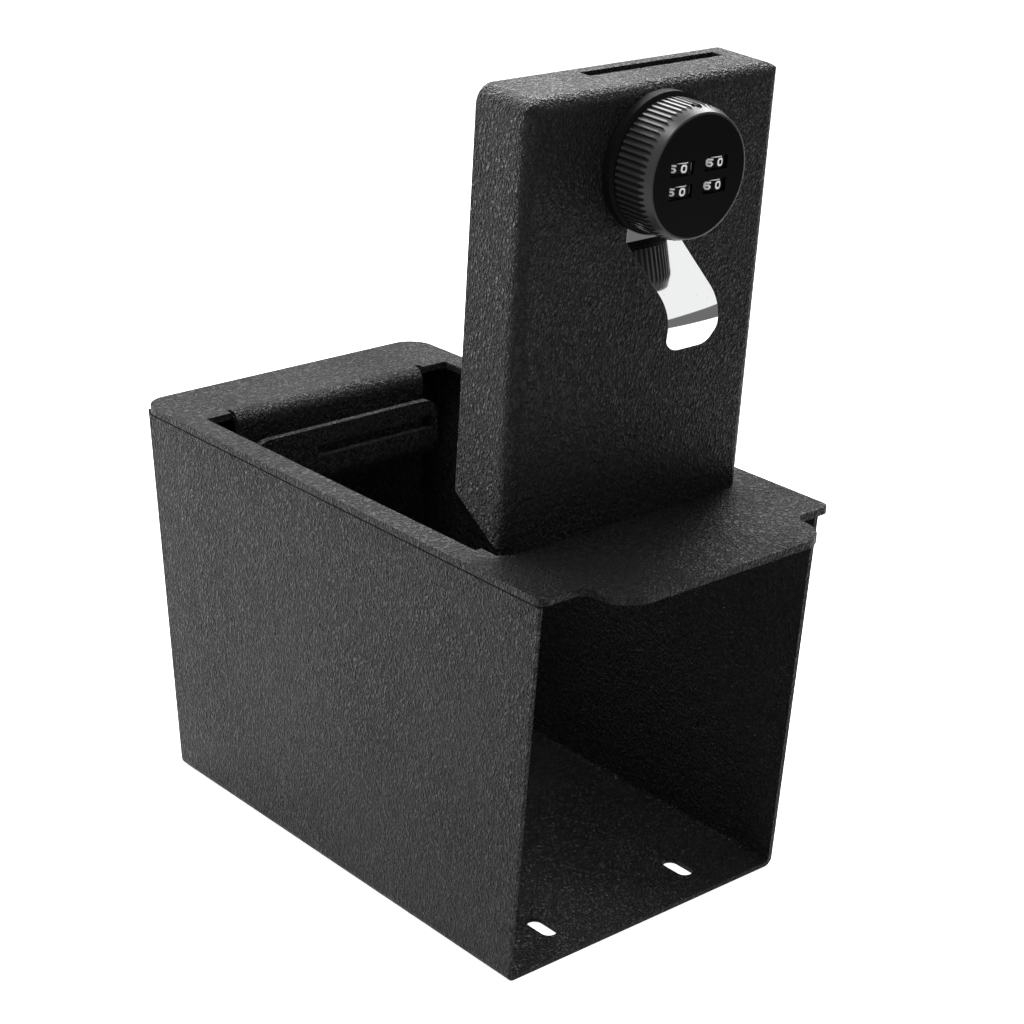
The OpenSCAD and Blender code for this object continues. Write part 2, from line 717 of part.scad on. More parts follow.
// The bar that the wheels hold back, and the pin that locks the knob to the flange
module locking_bar() {
    color(steel) at_lock() translate([wheel_shift, 0, 0]) {
        span([-bar_t/2, -bar_pin_at, bar_low_h], [bar_t/2, rib_end - rib_t, bar_low_h + bar_height]);
        translate([0, -bar_pin_at, bar_tip_h])
            cylinder(r = bar_pin_r, h = bar_low_h + bar_height - bar_tip_h, $fn = 32);
    }
}

module reset_plunger() {
    color(steel) at_lock() translate([0, knob_r - reset_recess - reset_l/2, reset_h])
        bar_y(reset_r - run_gap, reset_l);
}

// A number wheel: ten flutes part its ten numbers
module number_wheel(column, row) {
    color([0.05, 0.05, 0.05]) at_lock()
        in_carrier(column*column_pitch/2) translate([0, row*row_pitch/2, wheel_h]) difference() {
            bar_y(wheel_r, wheel_t);
            bar_y(axle_r + run_gap, wheel_t + 2*cut);
            for (i = [0 : 9])
                rotate([0, (i + 0.5)*36, 0]) translate([0, 0, wheel_r + 0.15])
                    rotate([90, 0, 0]) cylinder(r = 0.45, h = wheel_t + 2*cut, center = true, $fn = 24);
        }
}

module number_wheel_upper_left() { number_wheel(-1, 1); }
module number_wheel_upper_right() { number_wheel(1, 1); }
module number_wheel_lower_left() { number_wheel(-1, -1); }
module number_wheel_lower_right() { number_wheel(1, -1); }

// The spindle turns with the knob, and its square end drives the cam
module lock_spindle() {
    color(steel) at_lock() difference() {
        union() {
            translate([0, 0, cam_top_h]) cylinder(r = spindle_r, h = base_top_h - 0.4 - cam_top_h);
            translate([-square_side/2, -square_side/2, cam_low_h + 0.1])
                cube([square_side, square_side, cam_t]);
        }
        translate([0, 0, cam_low_h - cut]) cylinder(r = cam_thread_r, h = cam_thread_l + cut, $fn = 32);
    }
}

// The cam points across the lid when the lock is open
module cam() {
    side = square_side + 0.1;
    color(steel) at_lock() translate([0, 0, cam_low_h]) difference() {
        union() {
            cylinder(r = cam_w/2, h = cam_t);
            span([0, -cam_w/2, 0], [cam_reach, cam_w/2, cam_t]);
        }
        translate([-side/2, -side/2, -cut]) cube([side, side, cam_t + 2*cut]);
    }
}

module cam_washer() {
    color(steel) at_lock() translate([0, 0, cam_screw_h]) difference() {
        cylinder(r = cam_washer_r, h = cam_washer_t);
        translate([0, 0, -cut]) cylinder(r = cam_thread_r + 0.2, h = cam_washer_t + 2*cut, $fn = 32);
    }
}

module cam_screw() {
    color(steel) at_lock() {
        translate([0, 0, cam_screw_h - cam_screw_t]) difference() {
            cylinder(r = cam_screw_r, h = cam_screw_t);
            translate([0, 0, -cut]) cylinder(r = 2, h = 1.4 + cut, $fn = 6);
        }
        translate([0, 0, cam_screw_h]) cylinder(r = cam_thread_r - 0.02, h = 8, $fn = 32);
    }
}

// The finger pull: a strip clamped under the lock's flange, folded out, along the lid and curled
module finger_pull() {
    color([0.85, 0.85, 0.87]) at_lock() difference() {
        union() {
            linear_extrude(pull_t) {
                translate([-pull_w/2, -fold_at]) square([pull_w, fold_at]);
                circle(r = pull_w/2);
            }
            intersection() {
                pull_blade(pull_w + 2*cut);
                linear_extrude(face_h*3, center = true) blade_outline();
            }
        }
        translate([0, 0, -cut]) cylinder(r = barrel_r + 0.2, h = pull_t + 2*cut);
    }
}

// How far the pull reaches from the lock's axis, along the lid. Its tip is trimmed square to the lid
function pull_end() = fold_at + blade_l*cos(fold_angle)
    + (blade_bend_r - pull_t)*(sin(fold_angle) + sin(dip_angle))
    + curl_r*(sin(dip_angle) + sin(curl_angle - dip_angle)) + (tip_l - tip_trim)*cos(curl_angle - dip_angle);

// The blade seen along the lock's axis, with its two lower corners cut round in short straight steps
module blade_outline() {
    x = pull_w/2 - pull_corner_r;
    y = pull_corner_r - pull_end();
    steps = 8;
    polygon(concat([[-pull_w/2, 5 - fold_at]],
        [for (i = [0 : steps]) [-x - pull_corner_r*cos(i*90/steps), y - pull_corner_r*sin(i*90/steps)]],
        [for (i = [0 : steps]) [x + pull_corner_r*sin(i*90/steps), y - pull_corner_r*cos(i*90/steps)]],
        [[pull_w/2, 5 - fold_at]]));
}

// A chain of straight strips and bends. Each one starts where the last one ended
module pull_blade(w) {
    mirror([0, 1, 0]) translate([0, fold_at, 0]) rotate([fold_angle, 0, 0]) {
        span([-w/2, 0, 0], [w/2, blade_l, pull_t]);
        translate([0, blade_l, pull_t - blade_bend_r]) {
            sheet_arc(blade_bend_r - pull_t, pull_t, 90 - blade_bend_angle, 90, w);
            rotate([-blade_bend_angle, 0, 0]) translate([0, 0, blade_bend_r - pull_t + curl_r]) {
                sheet_arc(curl_r - pull_t, pull_t, 270, 270 + curl_angle, w);
                rotate([curl_angle, 0, 0]) translate([0, 0, -curl_r])
                    span([-w/2, 0, 0], [w/2, tip_l, pull_t]);
            }
        }
    }
}

box_shell();
rear_panel();
top_plate();
hinge_leaf_box();
hinge_pin();
lid_pan();
hinge_leaf_lid();
finger_pull();
lock_body();
lock_washer();
lock_nut();
knob_shell();
dial_plate();
wheel_carrier();
carrier_screws();
wheel_axle_left();
wheel_axle_right();
detent_spring_left();
detent_spring_right();
lock_spindle();
cam();
cam_washer();
cam_screw();
locking_bar();
reset_plunger();
number_wheel_upper_left();
number_wheel_upper_right();
number_wheel_lower_left();
number_wheel_lower_right();
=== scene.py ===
# Looks, lights and camera for a vehicle console safe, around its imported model.
# Lengths are in metres, and angles in degrees unless a name says otherwise.
import json
import math

import bmesh
import bpy
from mathutils import Matrix, Vector


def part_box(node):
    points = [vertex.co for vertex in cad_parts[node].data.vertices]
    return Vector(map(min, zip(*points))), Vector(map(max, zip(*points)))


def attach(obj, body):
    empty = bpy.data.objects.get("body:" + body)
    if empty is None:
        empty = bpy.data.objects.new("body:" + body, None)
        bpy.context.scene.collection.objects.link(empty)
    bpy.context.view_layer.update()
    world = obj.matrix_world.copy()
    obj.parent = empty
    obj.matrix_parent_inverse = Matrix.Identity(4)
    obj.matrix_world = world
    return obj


MM = 0.001

# Camera
CAMERA_PLACE = (-0.5941, -0.6957, 0.5129)
CAMERA_AZIMUTH = -41.213
CAMERA_ELEVATION = 22.026
CAMERA_ROLL = 1.654
CAMERA_LENS = 84.91
SENSOR_WIDTH = 36
NEAREST_SEEN = 0.05
FARTHEST_SEEN = 50

# Softboxes, each with its name, its place, what it points at, its width and height, and its watts
SOFTBOXES = (
    ("back_softbox", (0.38, 0.7, 1.1), (0, 0, 0.2), (1.7, 0.8), 60),
    ("left_softbox", (-1.1, 1.9, 0.3), (0, 0, 0.1), (0.8, 0.5), 46),
    ("overhead_softbox", (-0.35, -0.12, 1.4), (0, -0.09, 0.3), (0.4, 0.3), 11),
)

# Grey card on the floor, to the right in front of the box
FLAG_START = (0, -1.12)
FLAG_END = (1.02, -0.1)
FLAG_HEIGHT = 0.31
FLAG_LEVEL = 0.17

# World and floor
WHITE = (1, 1, 1, 1)
BLACK = (0, 0, 0, 1)
WORLD_LEVEL = 0.5
FLOOR_SIZE = 12
FLOOR_DROP = 0.2*MM
FLOOR_COLOUR = (0.5, 0.5, 0.5, 1)
FLOOR_ROUGHNESS = 0.9
FLOOR_SHINE = 0.1
FLOOR_GLOW = 0.9

# The range that most of a noise's values lie in
NOISE_LOW = 0.3
NOISE_HIGH = 0.7

# Powder coat. Every scale of a pattern is in waves a metre.
CREASE_SCALE = 520
CREASE_WIDTH = 0.1
CREASE_SHARE = 0.65
LUMP_SCALE = 900
LUMP_SMOOTHNESS = 0.3
LUMP_TOP = 0.1
LUMP_FOOT = 0.75
LUMP_SHARE = 0.35
COAT_LENGTH = 1.5
CALM_SCALE = 14
CALM_LOW = 0.42
CALM_HIGH = 0.58
CALM_RELIEF = 0.5
COAT_DEPTH = 1.6*MM
# Coat colour, from the creases, which are darkened as painted shade, to the ridges
COAT_CREASE_SHADE = 0.003
COAT_LIGHT = 0.0145
DULL_BELOW = 0.2
GLOSSY_ABOVE = 0.9
COAT_DULL = 0.5
COAT_GLOSSY = 0.34
COAT_SHINE = 0.09

# Painted shade: a dark band on the walls under the top plate's overhang, and the share of it that fades out
OVERHANG_SHADE_WIDTH = 2.4*MM
OVERHANG_SHADE_FADE = 0.2

# Knob
FLUTES = 64
FLUTE_RADIUS = 0.8*MM
FLUTE_AT = 24.7*MM
FLUTE_WALL_END = 0.97*FLUTE_RADIUS
LAND_START = 1.1*FLUTE_RADIUS
# The flutes' near-black is painted shade and the lands' lighter grey is a painted highlight
FLUTE_PAINTED_SHADE = 0.001
LAND_PAINTED_HIGHLIGHT = 0.026
LAND_POLISH = 0.28

# Plain metals
METAL_DARKER = 0.75
METAL_ROUGHNESS_SPREAD = 0.08

# Pieces with another finish than their slot's
# box_shell gets a copy of the coat with painted shade under the top plate's overhang
OWN_FINISH = {"box_shell": "overhang_shade_coat", "lock_body": "collar_shaded_black", "reset_plunger": "dark_steel"}

# Rounding of sharp edges, by piece
EDGE_WIDTH = {"top_plate": 0.5*MM, "rear_panel": 0.3*MM, "lid_pan": 0.5*MM, "finger_pull": 0.2*MM}
EDGE_SEGMENTS = 2
EDGE_ANGLE = 38
WELD_DISTANCE = 0.002*MM

# Number wheels
DIGIT_PITCH = 36
DIGIT_WIDTH = 2.7*MM
DIGIT_HEIGHT = 3.0*MM
DIGIT_STROKE = 0.72*MM
DIGIT_RAISE = 0.03*MM
DIGIT_STEPS = 3
DIGIT_ORDER = (0, 1, 2, 3, 4, 5, 9, 7, 8, 6)
ZERO_TURN = {"upper_left": -6, "upper_right": 3, "lower_left": -5, "lower_right": 2.5}
# Cut of a digit's corners, as a share of half its width or height
CORNER_CUT = 0.45
# How far a stroke's open end reaches, as a share of half its width
END_REACH = 0.9
# The least cosine that a mitre is worked out for
MITRE_LIMIT = 0.35
# A painted highlight on each wheel's upper rim: a short white line above its 0
RIM_HIGHLIGHT_FROM = -30
RIM_HIGHLIGHT_TO = 8
RIM_HIGHLIGHT_UP = 2.02*MM
RIM_HIGHLIGHT_WIDTH = 0.34*MM
RIM_HIGHLIGHT_STEPS = 8

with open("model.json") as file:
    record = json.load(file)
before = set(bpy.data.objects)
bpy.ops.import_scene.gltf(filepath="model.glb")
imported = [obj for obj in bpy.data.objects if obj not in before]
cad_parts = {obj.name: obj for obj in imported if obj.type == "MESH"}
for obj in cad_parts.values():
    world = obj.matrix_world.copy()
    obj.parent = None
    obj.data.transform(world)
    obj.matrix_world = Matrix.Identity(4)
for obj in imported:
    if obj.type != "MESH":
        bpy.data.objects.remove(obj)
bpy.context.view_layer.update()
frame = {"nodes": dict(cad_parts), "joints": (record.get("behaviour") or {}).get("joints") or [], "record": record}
nodes = frame["nodes"]
joints = {joint["name"]: joint for joint in frame["joints"]}
lock_place = Vector(joints["knob_turn"]["pos_m"])
lock_out = Vector(joints["knob_turn"]["axis"]).normalized()
lock_up = Vector(joints["wheel_upper_left_turn"]["axis"]).normalized()
lock_across = lock_up.cross(lock_out)


# Camera and lights

def add_to_scene(thing):
    bpy.context.scene.collection.objects.link(thing)


def make_camera():
    azimuth = math.radians(CAMERA_AZIMUTH)
    elevation = math.radians(CAMERA_ELEVATION)
    roll = math.radians(CAMERA_ROLL)
    back = Vector((math.sin(azimuth)*math.cos(elevation), -math.cos(azimuth)*math.cos(elevation),
                   math.sin(elevation)))
    right = (-back).cross(Vector((0, 0, 1))).normalized()
    up = back.cross(right)
    tilted_right = right*math.cos(roll) + up*math.sin(roll)
    tilted_up = up*math.cos(roll) - right*math.sin(roll)
    data = bpy.data.cameras.new("camera")
    data.lens = CAMERA_LENS
    data.sensor_width = SENSOR_WIDTH
    data.clip_start = NEAREST_SEEN
    data.clip_end = FARTHEST_SEEN
    camera = bpy.data.objects.new("camera", data)
    turn = Matrix((tilted_right, tilted_up, back)).transposed().to_4x4()
    camera.matrix_world = Matrix.Translation(CAMERA_PLACE) @ turn
    add_to_scene(camera)
    bpy.context.scene.camera = camera


def make_softbox(name, place, target, size, watts):
    data = bpy.data.lights.new(name, "AREA")
    data.shape = "RECTANGLE"
    data.size, data.size_y = size
    data.energy = watts
    lamp = bpy.data.objects.new(name, data)
    lamp.location = place
    lamp.rotation_mode = "QUATERNION"
    lamp.rotation_quaternion = (Vector(target) - Vector(place)).to_track_quat("-Z", "Y")
    add_to_scene(lamp)


# Shader nodes

def new_material(name):
    material = bpy.data.materials.new(name)
    material.use_nodes = True
    return material, material.node_tree, material.node_tree.nodes["Principled BSDF"]


def own_place(tree):
    """The object's own coordinates"""
    return tree.nodes.new("ShaderNodeTexCoord").outputs["Object"]


def pattern_place(tree, scale, length):
    """The object's own coordinates times the scale. The length draws a pattern out along Z."""
    mapping = tree.nodes.new("ShaderNodeMapping")
    mapping.inputs["Scale"].default_value = (scale, scale, scale/length)
    tree.links.new(own_place(tree), mapping.inputs["Vector"])
    return mapping.outputs["Vector"]


def noise(tree, scale, detail, roughness=0.5, distortion=0.0, length=1.0):
    """3-D noise"""
    node = tree.nodes.new("ShaderNodeTexNoise")
    node.inputs["Scale"].default_value = 1
    node.inputs["Detail"].default_value = detail
    node.inputs["Roughness"].default_value = roughness
    node.inputs["Distortion"].default_value = distortion
    tree.links.new(pattern_place(tree, scale, length), node.inputs["Vector"])
    return node.outputs["Fac"]


def cells(tree, scale, smoothness, length=1.0):
    """Rounded cells, 0 in their middles"""
    node = tree.nodes.new("ShaderNodeTexVoronoi")
    node.feature = "SMOOTH_F1"
    node.inputs["Scale"].default_value = 1
    node.inputs["Smoothness"].default_value = smoothness
    tree.links.new(pattern_place(tree, scale, length), node.inputs["Vector"])
    return node.outputs["Distance"]


def cracks(tree, scale, width, length):
    """0 in the cracks and 1 between them"""
    waves = noise(tree, scale, detail=2, distortion=0.6, length=length)
    off = combine(tree, "ABSOLUTE", combine(tree, "SUBTRACT", waves, 0.5))
    return spread(tree, off, 0, width, 0, 1)


def spread(tree, value, low, high, to_low, to_high):
    """The value's range from low to high, stretched to the new range and cut off outside it"""
    node = tree.nodes.new("ShaderNodeMapRange")
    node.inputs["From Min"].default_value = low
    node.inputs["From Max"].default_value = high
    node.inputs["To Min"].default_value = to_low
    node.inputs["To Max"].default_value = to_high
    tree.links.new(value, node.inputs["Value"])
    return node.outputs["Result"]


def spread_noise(tree, value, to_low, to_high):
    return spread(tree, value, NOISE_LOW, NOISE_HIGH, to_low, to_high)


def combine(tree, operation, first, second=0, clamp=False):
    node = tree.nodes.new("ShaderNodeMath")
    node.operation = operation
    node.use_clamp = clamp
    for socket, value in zip(node.inputs, (first, second)):
        if isinstance(value, (int, float)):
            socket.default_value = value
        else:
            tree.links.new(value, socket)
    return node.outputs[0]


def hypotenuse(tree, first, second):
    squares = [combine(tree, "MULTIPLY", value, value) for value in (first, second)]
    return combine(tree, "SQRT", combine(tree, "ADD", *squares))


def grey(level):
    return (level, level, level)


def set_colour(tree, shader, value, low_colour, high_colour):
    """The shader's colour goes from one to the other as the value goes from 0 to 1"""
    node = tree.nodes.new("ShaderNodeValToRGB")
    node.color_ramp.elements[0].color = (*low_colour, 1)
    node.color_ramp.elements[1].color = (*high_colour, 1)
    tree.links.new(value, node.inputs["Fac"])
    tree.links.new(node.outputs["Color"], shader.inputs["Base Color"])


def set_roughness(tree, shader, value):
    tree.links.new(value, shader.inputs["Roughness"])


def set_shine(shader, level):
    shader.inputs["Specular IOR Level"].default_value = level


def set_bump(tree, shader, height, depth, strength=1.0):
    node = tree.nodes.new("ShaderNodeBump")
    node.inputs["Strength"].default_value = strength
    node.inputs["Distance"].default_value = depth
    tree.links.new(height, node.inputs["Height"])
    tree.links.new(node.outputs["Normal"], shader.inputs["Normal"])


# Surroundings

def seen_rays(tree):
    """1 for rays from the camera, from a mirror or through glass, otherwise 0"""
    path = tree.nodes.new("ShaderNodeLightPath")
    total = path.outputs["Is Camera Ray"]
    for kind in ("Is Glossy Ray", "Is Transmission Ray"):
        total = combine(tree, "ADD", total, path.outputs[kind], clamp=True)
    return total


def make_world():
    """Plain white to look at and in reflections, and dimmer as a light"""
    world = bpy.data.worlds.new("studio")
    bpy.context.scene.world = world
    world.use_nodes = True
    tree = world.node_tree
    tree.nodes.clear()
    background = tree.nodes.new("ShaderNodeBackground")
    background.inputs["Color"].default_value = WHITE
    tree.links.new(spread(tree, seen_rays(tree), 0, 1, WORLD_LEVEL, 1), background.inputs["Strength"])
    output = tree.nodes.new("ShaderNodeOutputWorld")
    tree.links.new(background.outputs["Background"], output.inputs["Surface"])


def make_sheet(name, corners, material):
    """Adds a four-sided face with a material"""
    mesh = bpy.data.meshes.new(name)
    mesh.from_pydata(corners, [], [(0, 1, 2, 3)])
    mesh.materials.append(material)
    sheet = bpy.data.objects.new(name, mesh)
    add_to_scene(sheet)
    return sheet


def make_floor():
    """A grey floor that glows, so it reads as white and keeps the object's shadow"""
    material, tree, shader = new_material("floor")
    shader.inputs["Base Color"].default_value = FLOOR_COLOUR
    shader.inputs["Roughness"].default_value = FLOOR_ROUGHNESS
    set_shine(shader, FLOOR_SHINE)
    shader.inputs["Emission Color"].default_value = WHITE
    glow = combine(tree, "MULTIPLY", seen_rays(tree), FLOOR_GLOW)
    tree.links.new(glow, shader.inputs["Emission Strength"])
    half = FLOOR_SIZE/2
    corners = [(-half, -half, 0), (half, -half, 0), (half, half, 0), (-half, half, 0)]
    floor = make_sheet("floor", corners, material)
    floor.location = (0, 0, -FLOOR_DROP)


def make_flag():
    """A standing grey card that only shows up in reflections"""
    material, tree, shader = new_material("front_flag")
    shader.inputs["Base Color"].default_value = BLACK
    set_shine(shader, 0)
    shader.inputs["Emission Color"].default_value = WHITE
    shader.inputs["Emission Strength"].default_value = FLAG_LEVEL
    corners = [(*FLAG_START, 0), (*FLAG_END, 0), (*FLAG_END, FLAG_HEIGHT), (*FLAG_START, FLAG_HEIGHT)]
    card = make_sheet("front_flag", corners, material)
    card.visible_camera = False
    card.visible_diffuse = False
    card.visible_shadow = False
    card.visible_transmission = False


# Materials

def coat_material(name, overhang_shade_top=None):
    """Coarse, leather-like powder coat, calmer in some patches, with painted shade in its creases and, given a top
    height, a band of painted shade just below it, where the top plate overhangs
    """
    material, tree, shader = new_material(name)
    creases = cracks(tree, CREASE_SCALE, CREASE_WIDTH, COAT_LENGTH)
    off_lumps = cells(tree, LUMP_SCALE, LUMP_SMOOTHNESS, COAT_LENGTH)
    lumps = spread(tree, off_lumps, LUMP_TOP, LUMP_FOOT, 1, 0)
    height = combine(tree, "ADD", combine(tree, "MULTIPLY", creases, CREASE_SHARE),
                     combine(tree, "MULTIPLY", lumps, LUMP_SHARE))
    calm = spread(tree, noise(tree, CALM_SCALE, detail=2), CALM_LOW, CALM_HIGH, CALM_RELIEF, 1)
    set_bump(tree, shader, combine(tree, "MULTIPLY", height, calm), COAT_DEPTH)
    # The colour follows the height, so the creases are darkened with painted shade
    light = height
    rough = spread(tree, height, DULL_BELOW, GLOSSY_ABOVE, COAT_DULL, COAT_GLOSSY)
    if overhang_shade_top is not None:
        # Painted shade under the top plate's overhang: darker and duller in a band just below the top of the walls
        split = tree.nodes.new("ShaderNodeSeparateXYZ")
        tree.links.new(own_place(tree), split.inputs[0])
        overhang_shade = spread(tree, split.outputs["Z"], overhang_shade_top - OVERHANG_SHADE_WIDTH,
                      overhang_shade_top - OVERHANG_SHADE_WIDTH*(1 - OVERHANG_SHADE_FADE), 0, 1)
        light = combine(tree, "SUBTRACT", height, overhang_shade)
        rough = combine(tree, "ADD", rough, overhang_shade)
    set_colour(tree, shader, light, grey(COAT_CREASE_SHADE), grey(COAT_LIGHT))
    set_roughness(tree, shader, rough)
    set_shine(shader, COAT_SHINE)
    return material


def lock_distance(tree, direction):
    """How far a place lies from the lock's middle along a direction"""
    off = tree.nodes.new("ShaderNodeVectorMath")
    off.operation = "SUBTRACT"
    off.inputs[1].default_value = lock_place
    tree.links.new(own_place(tree), off.inputs[0])
    dot = tree.nodes.new("ShaderNodeVectorMath")
    dot.operation = "DOT_PRODUCT"
    dot.inputs[1].default_value = direction
    tree.links.new(off.outputs[0], dot.inputs[0])
    return dot.outputs["Value"]


def knob_lands(tree):
    """0 on the walls of the knob's flutes and 1 elsewhere"""
    across = lock_distance(tree, lock_across)
    up = lock_distance(tree, lock_up)
    radius = hypotenuse(tree, across, up)
    pitch = 2*math.pi/FLUTES
    wrap = tree.nodes.new("ShaderNodeMath")
    wrap.operation = "WRAP"
    tree.links.new(combine(tree, "ARCTAN2", up, across), wrap.inputs[0])
    wrap.inputs[1].default_value = pitch/2
    wrap.inputs[2].default_value = -pitch/2
    turn = combine(tree, "SUBTRACT", combine(tree, "ABSOLUTE", wrap.outputs[0]), pitch/2)
    sideways = combine(tree, "MULTIPLY", radius, combine(tree, "SINE", turn))
    outward = combine(tree, "MULTIPLY", radius, combine(tree, "COSINE", turn))
    depth = hypotenuse(tree, sideways, combine(tree, "SUBTRACT", outward, FLUTE_AT))
    return spread(tree, depth, FLUTE_WALL_END, LAND_START, 0, 1)


def knob_material():
    """Satin black with dull flutes, painted darker as shade, and glossier lands, painted lighter as a highlight"""
    material, tree, shader = new_material("lock_black")
    fine = noise(tree, 5200, detail=3, roughness=0.6)
    lands = knob_lands(tree)
    set_colour(tree, shader, lands, grey(FLUTE_PAINTED_SHADE), grey(LAND_PAINTED_HIGHLIGHT))
    set_roughness(tree, shader, combine(tree, "SUBTRACT", spread_noise(tree, fine, 0.56, 0.66),
                                        combine(tree, "MULTIPLY", lands, LAND_POLISH)))
    set_shine(shader, 0.2)
    set_bump(tree, shader, fine, 0.01*MM, 0.6)
    return material


def dial_material():
    """Smooth black face"""
    material, tree, shader = new_material("dial_black")
    fine = noise(tree, 7000, detail=2)
    set_colour(tree, shader, noise(tree, 120, detail=3), grey(0.002), grey(0.003))
    set_roughness(tree, shader, spread_noise(tree, fine, 0.34, 0.4))
    set_shine(shader, 0.03)
    set_bump(tree, shader, fine, 0.004*MM, 0.5)
    return material


def plastic_material(name, level, rough, shine):
    """Dull black, a little cloudy"""
    material, tree, shader = new_material(name)
    cloudy = noise(tree, 300, detail=2)
    set_colour(tree, shader, cloudy, grey(level/2), grey(level))
    set_roughness(tree, shader, spread_noise(tree, cloudy, rough - 0.05, rough + 0.05))
    set_shine(shader, shine)
    return material


def digit_material():
    """White paint, a little worn"""
    material, tree, shader = new_material("number_white")
    worn = noise(tree, 2600, detail=3, roughness=0.6)
    set_colour(tree, shader, worn, (0.86, 0.86, 0.85), (0.95, 0.95, 0.94))
    set_roughness(tree, shader, spread_noise(tree, worn, 0.45, 0.6))
    return material


def chrome_material():
    """Bright chrome with a faint waviness and a few small dark specks"""
    material, tree, shader = new_material("pull_chrome")
    waves = noise(tree, 70, detail=1, roughness=0.4)
    specks = spread(tree, cells(tree, 330, smoothness=0.0), 0, 0.075, 0, 1)
    set_colour(tree, shader, specks, grey(0.08), (0.86, 0.865, 0.87))
    shader.inputs["Metallic"].default_value = 1
    set_roughness(tree, shader, spread_noise(tree, waves, 0.035, 0.07))
    set_bump(tree, shader, waves, 0.02*MM, 0.4)
    return material


def metal_material(name, colour, rough, grain_scale):
    """Plain metal with a fine grain"""
    material, tree, shader = new_material(name)
    grain = noise(tree, grain_scale, detail=3, roughness=0.6)
    set_colour(tree, shader, grain, tuple(METAL_DARKER*c for c in colour), colour)
    set_roughness(tree, shader, spread_noise(tree, grain, rough - METAL_ROUGHNESS_SPREAD,
                                             rough + METAL_ROUGHNESS_SPREAD))
    shader.inputs["Metallic"].default_value = 1
    set_bump(tree, shader, grain, 0.01*MM, 0.5)
    return material


def finish_nodes():
    """Gives every CAD node its procedural material"""
    made = {
        "powder_coat": coat_material("powder_coat"),
        "overhang_shade_coat": coat_material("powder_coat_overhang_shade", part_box("box_shell")[1].z),
        "hinge_steel": metal_material("hinge_steel", (0.5, 0.51, 0.53), 0.35, 900),
        "pull_chrome": chrome_material(),
        "lock_black": knob_material(),
        # The collar's black is darker than the knob's lands, as painted shade
        "collar_shaded_black": plastic_material("collar_shaded_black", 0.004, 0.65, 0.04),
        "dial_black": dial_material(),
        "wheel_plastic": plastic_material("wheel_plastic", 0.002, 0.45, 0.06),
        "carrier_zinc": metal_material("carrier_zinc", (0.5, 0.5, 0.52), 0.5, 2500),
        "plated_steel": metal_material("plated_steel", (0.6, 0.6, 0.62), 0.3, 1800),
        "dark_steel": metal_material("dark_steel", (0.03, 0.03, 0.03), 0.5, 1800),
        "spring_steel": metal_material("spring_steel", (0.55, 0.56, 0.58), 0.28, 1500),
    }
    slot_of = {part["node"]: part["material_slot"] for part in frame["record"]["subparts"]}
    for name, node in nodes.items():
        node.data.materials.clear()
        node.data.materials.append(made[OWN_FINISH.get(name, slot_of[name])])


def soften_edges(name, width):
    """Rounds a CAD node's sharp edges, without changing its mesh"""
    node = nodes[name]
    weld = node.modifiers.new("weld", "WELD")
    weld.merge_threshold = WELD_DISTANCE
    bevel = node.modifiers.new("edges", "BEVEL")
    bevel.width = width
    bevel.segments = EDGE_SEGMENTS
    bevel.limit_method = "ANGLE"
    bevel.angle_limit = math.radians(EDGE_ANGLE)
    bevel.use_clamp_overlap = True


# Numbers

def glyph(digit):
    """Centre lines of a digit's strokes in a box that reaches from -1 to 1 both ways"""
    c = CORNER_CUT
    top_right = [(1 - c, 1), (1, 1 - c)]
    top_left = [(-1, 1 - c), (-1 + c, 1)]
    low_right = [(1, -1 + c), (1 - c, -1)]
    low_left = [(-1 + c, -1), (-1, -1 + c)]
    return {
        0: [[*top_left, *top_right, *low_right, *low_left, (-1, 1 - c)]],
        1: [[(0, 1), (0, -1)]],
        2: [[(-1, 1), *top_right, (1, 0.1), (-1, -0.15), (-1, -1), (1, -1)]],
        3: [[(-1, 1), *top_right, (1, 0.3), (0.6, 0), (1, -0.3), *low_right, (-1, -1)],
            [(-0.4, 0), (0.6, 0)]],
        4: [[(-1, 1), (-1, -0.2), (1, -0.2)], [(0.6, 1), (0.6, -1)]],
        5: [[(1, 1), (-1, 1), (-1, 0.1), (1 - c, 0.1), (1, 0.1 - c), *low_right, (-1, -1)]],
        6: [[(1, 1), (-1 + c, 1), (-1, 1 - c), (-1, -1 + c), (-1 + c, -1), (1 - c, -1), (1, -1 + c),
             (1, 0.1 - c), (1 - c, 0.1), (-1, 0.1)]],
        7: [[(-1, 1), (1, 1), (1, 0.6), (-0.1, -1)]],
        8: [[*top_left, *top_right, (1, 0.3), (0.7, 0), (1, -0.3), *low_right, *low_left, (-1, -0.3),
             (-0.7, 0), (-1, 0.3), (-1, 1 - c)], [(-0.7, 0), (0.7, 0)]],
        9: [[(-1, -1), (1 - c, -1), (1, -1 + c), (1, 1 - c), (1 - c, 1), (-1 + c, 1), (-1, 1 - c),
             (-1, -0.1 + c), (-1 + c, -0.1), (1, -0.1)]],
    }[digit]


def stroke_outline(points, width):
    """The two sides of a stroke along a line of points, with mitred corners"""
    left = []
    right = []
    closed = points[0] == points[-1]
    last = len(points) - 1
    for i, point in enumerate(points):
        before = points[i - 1] if i > 0 else (points[-2] if closed else None)
        after = points[i + 1] if i < last else (points[1] if closed else None)
        here = Vector(point)
        way_in = ((here - Vector(before)) if before else (Vector(after) - here)).normalized()
        way_out = (Vector(after) - here).normalized() if after else way_in
        side_in = Vector((-way_in.y, way_in.x))
        side_out = Vector((-way_out.y, way_out.x))
        middle = (side_in + side_out).normalized()
        reach = width/2/max(MITRE_LIMIT, middle.dot(side_in))
        past_end = Vector((0, 0))
        if not before:
            past_end = -way_in*width/2*END_REACH
        if not after:
            past_end = way_in*width/2*END_REACH
        left.append(here + middle*reach + past_end)
        right.append(here - middle*reach + past_end)
    return left, right


def on_wheel(centre, radius, angle, height):
    """A place on a wheel's face. The angle is from straight out, in radians."""
    return centre + (lock_out*math.cos(angle) + lock_across*math.sin(angle))*radius + lock_up*height


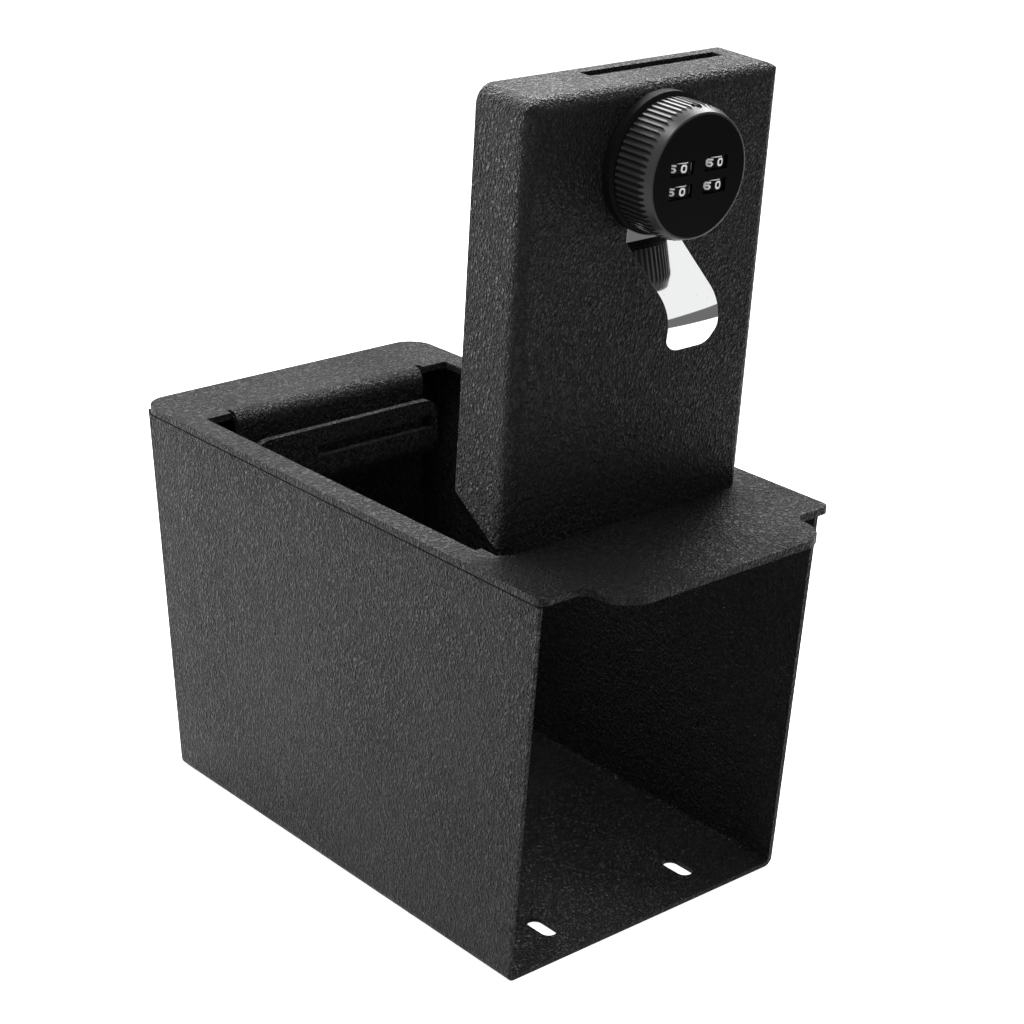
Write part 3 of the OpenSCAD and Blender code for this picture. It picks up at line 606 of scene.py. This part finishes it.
def add_rim_highlight(mesh, centre, radius):
    """Adds the painted rim highlight, a short white line above a wheel's 0, to the mesh"""
    rows = []
    for i in range(RIM_HIGHLIGHT_STEPS + 1):
        angle = math.radians(RIM_HIGHLIGHT_FROM + (RIM_HIGHLIGHT_TO - RIM_HIGHLIGHT_FROM)*i/RIM_HIGHLIGHT_STEPS)
        rows.append([mesh.verts.new(on_wheel(centre, radius, angle, RIM_HIGHLIGHT_UP + side*RIM_HIGHLIGHT_WIDTH/2))
                     for side in (-1, 1)])
    for first, second in zip(rows, rows[1:]):
        mesh.faces.new((first[0], second[0], second[1], first[1]))


def add_glyph(mesh, digit, centre, radius, turn):
    """Adds a digit to the mesh, wrapped around a wheel. The turn is from straight out, in radians."""
    half_w = (DIGIT_WIDTH - DIGIT_STROKE)/2
    half_h = (DIGIT_HEIGHT - DIGIT_STROKE)/2
    for line in glyph(digit):
        sides = stroke_outline([(x*half_w, y*half_h) for x, y in line], DIGIT_STROKE)
        for i in range(len(line) - 1):
            rows = []
            for k in range(DIGIT_STEPS + 1):
                flat = [side[i].lerp(side[i + 1], k/DIGIT_STEPS) for side in sides]
                rows.append([mesh.verts.new(on_wheel(centre, radius, turn + point.x/radius, point.y))
                             for point in flat])
            for first, second in zip(rows, rows[1:]):
                mesh.faces.new((first[0], first[1], second[1], second[0]))


def make_numbers(material):
    """Ten white digits around each number wheel, and a painted highlight on its rim"""
    for place, zero_turn in ZERO_TURN.items():
        centre = Vector(joints["wheel_" + place + "_turn"]["pos_m"])
        low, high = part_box("number_wheel_" + place)
        radius = (high.x - low.x)/2 + DIGIT_RAISE
        mesh = bmesh.new()
        for step, digit in enumerate(DIGIT_ORDER):
            add_glyph(mesh, digit, centre, radius, math.radians(zero_turn + step*DIGIT_PITCH))
        add_rim_highlight(mesh, centre, radius)
        data = bpy.data.meshes.new("numbers_" + place)
        mesh.to_mesh(data)
        mesh.free()
        data.materials.append(material)
        piece = bpy.data.objects.new("numbers_" + place, data)
        add_to_scene(piece)
        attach(piece, "wheel_" + place)


# The scene

bpy.context.scene.view_settings.view_transform = "Standard"
make_camera()
for softbox in SOFTBOXES:
    make_softbox(*softbox)
make_world()
make_floor()
make_flag()
finish_nodes()
for name, width in EDGE_WIDTH.items():
    soften_edges(name, width)
make_numbers(digit_material())
